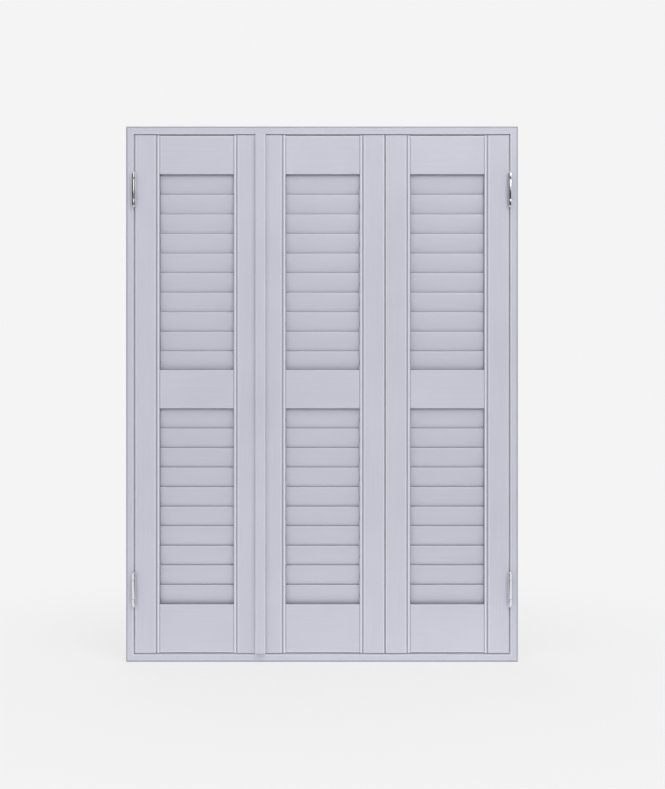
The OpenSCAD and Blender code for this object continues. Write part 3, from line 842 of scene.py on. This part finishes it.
def addLeaf(bm, outer):
    place = leafPlace(outer)
    half, end = hinge["halfLen"], hinge["endLen"]
    start, thick = hinge["leafStart"], hinge["leafThick"]
    plateWithHoles(bm, (start, -half), (start + hinge["leafWide"], half), leafScrewPlaces(), thick, place)
    inner = half - end - hinge["gap"]
    spans = [(half - end, half), (-half, end - half)] if outer else [(-inner, inner)]
    near, far = hinge["neckStart"], start + hinge["neckLap"]
    for low, high in spans:
        turned(bm, knuckleProfile(low, high), Vector(), Vector((0, 0, 1)), hinge["turnSteps"])
        neck = [(near, low), (far, low), (far, high), (near, high)]
        extruded(bm, neck, 0, thick, place)


def addPin(bm):
    half, r = hinge["halfLen"] + hinge["pinEnd"], hinge["pinR"]
    rim, ease = hinge["collarR"], hinge["collarEase"]
    ball, centre = hinge["ballR"], half + hinge["collarH"]
    top = [(r, half), (rim - ease, half), (rim, half + ease),
           (rim, centre - hinge["collarDrop"]), (rim - hinge["collarIn"], centre)]
    turns = [math.radians(a) for a in range(hinge["ballStep"], 90, hinge["ballStep"])]
    top += [(ball * math.cos(a), centre + ball * math.sin(a)) for a in turns]
    top.append((0, centre + ball))
    bottom = [(radius, -height) for radius, height in reversed(top)]
    turned(bm, bottom + top, Vector(), Vector((0, 0, 1)), hinge["turnSteps"])


def upperSpot(body):
    # where the upper hinge that carries a body has its middle
    return Matrix.Translation((jointAt[body].x, jointAt[body].y, upperHinges))


hingeSpots = {
    "right": upperSpot("right_panel"),
    "left": upperSpot("left_panel") @ Matrix.Diagonal((-1, 1, 1, 1)),
    "fold": upperSpot("middle_panel") @ Matrix.Rotation(math.pi, 4, "Z"),
}
toLowerHinges = (0, 0, lowerHinges - upperHinges)


def hingePiece(name, spot, body, build):
    bm = bmesh.new()
    build(bm)
    bmesh.ops.transform(bm, matrix=hingeSpots[spot], verts=bm.verts)
    return inRows(name, meshFrom(bm, name), polishedHinge, body,
                  sets=2, setStep=toLowerHinges)


def leafScrews(name, spot, body, outer):
    bm = bmesh.new()
    u, v = leafScrewPlaces()[0]
    screwHead(bm, u, v, hinge["leafThick"], leafPlace(outer))
    bmesh.ops.transform(bm, matrix=hingeSpots[spot], verts=bm.verts)
    across = screw["zigzag"] * (-1 if spot == "fold" else 1)
    inRows(name, meshFrom(bm, name), polishedHinge, body,
           count=screw["perLeaf"], step=(0, 0, -screw["rise"]), zigzag=(0, across, 0),
           sets=2, setStep=toLowerHinges)


def makeHinges():
    leaves = [("left_jamb_hinge_leaves", "left", "frame", True, "frame_hinge_leaves"),
              ("right_jamb_hinge_leaves", "right", "frame", True, "frame_hinge_leaves"),
              ("left_panel_hinge_leaves", "left", "left_panel", False, "left_hinge_leaves"),
              ("right_panel_hinge_leaves", "right", "right_panel", False, "right_hinge_leaves"),
              ("middle_panel_fold_leaves", "fold", "middle_panel", True, "middle_fold_leaves"),
              ("right_panel_fold_leaves", "fold", "right_panel", False, "right_fold_leaves")]
    for name, spot, body, outer, node in leaves:
        piece = hingePiece(name, spot, body, lambda bm: addLeaf(bm, outer))
        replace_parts(piece, node)
        leafScrews(name.replace("leaves", "screws"), spot, body, outer)
    pins = [("left_jamb_hinge_pins", "left", "frame", "frame_hinge_pins"),
            ("right_jamb_hinge_pins", "right", "frame", "frame_hinge_pins"),
            ("fold_pins", "fold", "right_panel", "fold_hinge_pins")]
    for name, spot, body, node in pins:
        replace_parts(hingePiece(name, spot, body, addPin), node)


makeHinges()
print("hinges made")


# catches: strike plates with two screws, and magnets with two steel poles in a housing
catch = {
    "tall": 6.0 * mm,             # a magnet and its strike plate
    "screwInset": 7.0 * mm,
    "poleThick": 1.1 * mm,
    "poleInset": 1.2 * mm,        # from the housing's upper and lower side
    "poleEnd": 2.4 * mm,          # from its ends
    "bevel": 0.5 * mm,
    "poleBevel": 0.15 * mm,
    "bevelSteps": 3,
}


def makeStrikes(side):
    node = side + "_strike_plates"
    low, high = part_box(node)
    tall, thick = catch["tall"], high.y - low.y
    apart = high.z - low.z - tall
    ends = (low.x + catch["screwInset"], high.x - catch["screwInset"])
    centreZ = high.z - tall / 2
    holes = [(x, centreZ) for x in ends]

    def place(u, v, w):
        return u, high.y - w, v

    bm = bmesh.new()
    plateWithHoles(bm, (low.x, high.z - tall), (high.x, high.z), holes, thick, place)
    plate = inRows(side + "_strikes", meshFrom(bm, node), zincClip, side + "_panel",
                   sets=2, setStep=(0, 0, -apart))
    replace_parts(plate, node)
    bm = bmesh.new()
    screwHead(bm, ends[0], centreZ, thick, place)
    inRows(side + "_strike_screws", meshFrom(bm, node), zincClip, side + "_panel",
           count=2, step=(ends[1] - ends[0], 0, 0), sets=2, setStep=(0, 0, -apart))


def bevelledBox(bm, low, high, bevel):
    made = bmesh.ops.create_cube(bm, size=1)["verts"]
    for v in made:
        v.co = Vector([low[i] if v.co[i] < 0 else high[i] for i in range(3)])
    edges = list({e for v in made for e in v.link_edges})
    bmesh.ops.bevel(bm, geom=edges, offset=bevel, segments=catch["bevelSteps"], profile=0.5, affect="EDGES")


def makeMagnets():
    low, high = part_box("catch_magnets")
    strikes = [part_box(side + "_strike_plates") for side in ("left", "right")]
    tall, bevel, inset = catch["tall"], catch["bevel"], catch["poleInset"]
    apart = high.z - low.z - tall
    between = strikes[1][0].x - strikes[0][0].x
    x0, x1 = strikes[0][0].x, strikes[0][1].x
    z0 = high.z - tall
    bm = bmesh.new()
    bevelledBox(bm, (x0, low.y + bevel, z0), (x1, high.y, z0 + tall), bevel)
    housings = inRows("catch_housings", meshFrom(bm, "housing"), magnetHousing, "frame",
                      count=2, step=(between, 0, 0), sets=2, setStep=(0, 0, -apart))
    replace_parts(housings, "catch_magnets")
    bm = bmesh.new()
    for z in (z0 + inset, z0 + tall - inset - catch["poleThick"]):
        bevelledBox(bm, (x0 + catch["poleEnd"], low.y, z),
                    (x1 - catch["poleEnd"], high.y - bevel, z + catch["poleThick"]), catch["poleBevel"])
    inRows("catch_poles", meshFrom(bm, "poles"), zincClip, "frame",
           count=2, step=(between, 0, 0), sets=2, setStep=(0, 0, -apart))


makeStrikes("left")
makeStrikes("right")
makeMagnets()
print("catches made")


# plain pale studio: floor, backdrop colour, soft lamps, and cards that only glossy surfaces see
studio = {
    "pale": (0.905, 0.905, 0.905),
    "fill": (0.80, 0.80, 0.80),
    "fillStrength": 0.675,
    "floorSize": 12.0,
    "floorTone": (0.86, 0.86, 0.86),
    "floorRough": 0.9,
    "floorInMetal": (0.80, 0.80, 0.84),   # what glossy surfaces see of the floor
    "fadeSpan": (0.15, 1.3),      # metres from the middle, where the floor fades into the background
    "fadeStart": 0.7,             # share of the background at the middle
    "floorBounce": 0.44,          # light that the floor throws back on the lowest part
    "bounceSpan": (0.3, 1.0),     # metres from the middle, where that light fades out
    "lamps": {                    # place, size, power, aim
        "keyLamp": ((1.4, -2.5, 2.7), 1.8, 30.0, (0.0, 0.0, 0.95)),
        "sideLamp": ((-2.2, -2.4, 1.2), 2.2, 9.5, (0.0, 0.0, 0.55)),
        "overLamp": ((0.1, -1.0, 2.4), 1.6, 13.0, (0.1, -0.9, 0.0)),
        "backLamp": ((-0.9, 2.6, 1.9), 2.0, 16.0, (0.0, 0.0, 0.5)),
    },
    "cards": {                    # line seen from above, heights, brightness between them
        "innerCard": ([(0.0, -0.12), (0.0, -3.2)], (0.0, 1.5), (0.20,)),
        "leftCard": ([(-2.0, 0.6), (-2.2, -3.0)], (0.62, 1.62, 1.9, 3.2), (0.004, 0.25, 0.004)),
        "leftFrontCard": ([(-2.2, -3.0), (-2.2, -3.4), (-0.05, -3.3)],
                          (0.62, 1.5, 1.9, 3.2), (0.3, 1.5, 0.004)),
        "rightFrontCard": ([(-0.05, -3.3), (2.4, -3.3)], (0.62, 1.6, 1.9, 3.2), (0.004, 1.5, 1.2)),
        "rightSideCard": ([(2.4, -3.3), (2.6, -1.4)], (0.62, 1.5, 1.9, 3.2), (0.004, 1.5, 1.5)),
        "rightCard": ([(2.6, -1.4), (2.4, 0.6)], (0.62, 1.45, 3.2), (0.6, 1.5)),
    },
}


def addWorld():
    world = bpy.data.worlds.new("paleStudio")
    world.use_nodes = True
    tree = world.node_tree
    tree.nodes.clear()
    seen = addNode(tree, "ShaderNodeBackground", Strength=1.0, Color=(*studio["pale"], 1))
    fill = addNode(tree, "ShaderNodeBackground", Strength=studio["fillStrength"], Color=(*studio["fill"], 1))
    rays = addNode(tree, "ShaderNodeLightPath")
    direct = mathNode(tree, "MAXIMUM", (rays, "Is Camera Ray"), (rays, "Is Glossy Ray"))
    shown = mathNode(tree, "MAXIMUM", direct, (rays, "Is Transmission Ray"))
    both = mixShaders(tree, shown, (fill, 0), (seen, 0))
    join(tree, *both, addNode(tree, "ShaderNodeOutputWorld"), "Surface")
    scene.world = world


def studioPiece(name, bm):
    mesh = bpy.data.meshes.new(name)
    bm.to_mesh(mesh)
    bm.free()
    piece = bpy.data.objects.new(name, mesh)
    scene.collection.objects.link(piece)
    return piece


def addFloor():
    bm = bmesh.new()
    half = studio["floorSize"] / 2
    corners = ((-half, -half), (half, -half), (half, half), (-half, half))
    bm.faces.new([bm.verts.new((x, y, 0)) for x, y in corners])
    floor = studioPiece("floor", bm)
    finish, tree, shader = newFinish("paleFloor")
    shader.inputs["Base Color"].default_value = (*studio["floorTone"], 1)
    shader.inputs["Roughness"].default_value = studio["floorRough"]
    place = addNode(tree, "ShaderNodeTexCoord")
    far = addNode(tree, "ShaderNodeVectorMath", operation="LENGTH")
    join(tree, place, "Object", far, 0)
    rays = addNode(tree, "ShaderNodeLightPath")

    # light thrown back, which the camera doesn't see
    bounce = ranged(tree, (far, "Value"), studio["bounceSpan"], (studio["floorBounce"], 0.0))
    unseen = mathNode(tree, "SUBTRACT", 1.0, (rays, "Is Camera Ray"))
    shader.inputs["Emission Color"].default_value = (1, 1, 1, 1)
    join(tree, *mathNode(tree, "MULTIPLY", bounce, unseen), shader, "Emission Strength")

    # the camera sees the floor fade into the background, and glossy surfaces see a plain tone
    fade = ranged(tree, (far, "Value"), studio["fadeSpan"], (studio["fadeStart"], 1.0))
    share = mathNode(tree, "MULTIPLY", fade, (rays, "Is Camera Ray"))
    glow = addNode(tree, "ShaderNodeEmission", Strength=1.0, Color=(*studio["pale"], 1))
    faded = mixShaders(tree, share, (shader, 0), (glow, 0))
    mirrored = addNode(tree, "ShaderNodeEmission", Strength=1.0, Color=(*studio["floorInMetal"], 1))
    both = mixShaders(tree, (rays, "Is Glossy Ray"), faded, (mirrored, 0))
    join(tree, *both, tree.nodes["Material Output"], "Surface")
    floor.data.materials.append(finish)


def addCard(name, line, rise, glow):
    # seen only in reflections
    bm = bmesh.new()
    low, high = [[bm.verts.new((x, y, z)) for x, y in line] for z in rise]
    for k in range(len(line) - 1):
        bm.faces.new([low[k], low[k + 1], high[k + 1], high[k]])
    card = studioPiece(name, bm)
    finish, tree = newFinish(name)[:2]
    light = addNode(tree, "ShaderNodeEmission", Strength=glow)
    join(tree, light, 0, tree.nodes["Material Output"], "Surface")
    card.data.materials.append(finish)
    card.visible_camera = False
    card.visible_diffuse = False
    card.visible_shadow = False
    card.visible_transmission = False


def addLamp(name, place, size, power, aim):
    data = bpy.data.lights.new(name, "AREA")
    data.shape = "SQUARE"
    data.size = size
    data.energy = power
    lamp = bpy.data.objects.new(name, data)
    lamp.location = place
    lamp.visible_glossy = False   # glossy surfaces see the cards instead
    lamp.rotation_euler = (Vector(aim) - Vector(place)).to_track_quat("-Z", "Y").to_euler()
    scene.collection.objects.link(lamp)


addWorld()
addFloor()
for name, (line, heights, glows) in studio["cards"].items():
    for k, glow in enumerate(glows):
        addCard(name + str(k + 1), line, heights[k:k + 2], glow)
for name, (place, size, power, aim) in studio["lamps"].items():
    addLamp(name, place, size, power, aim)
print("studio made")
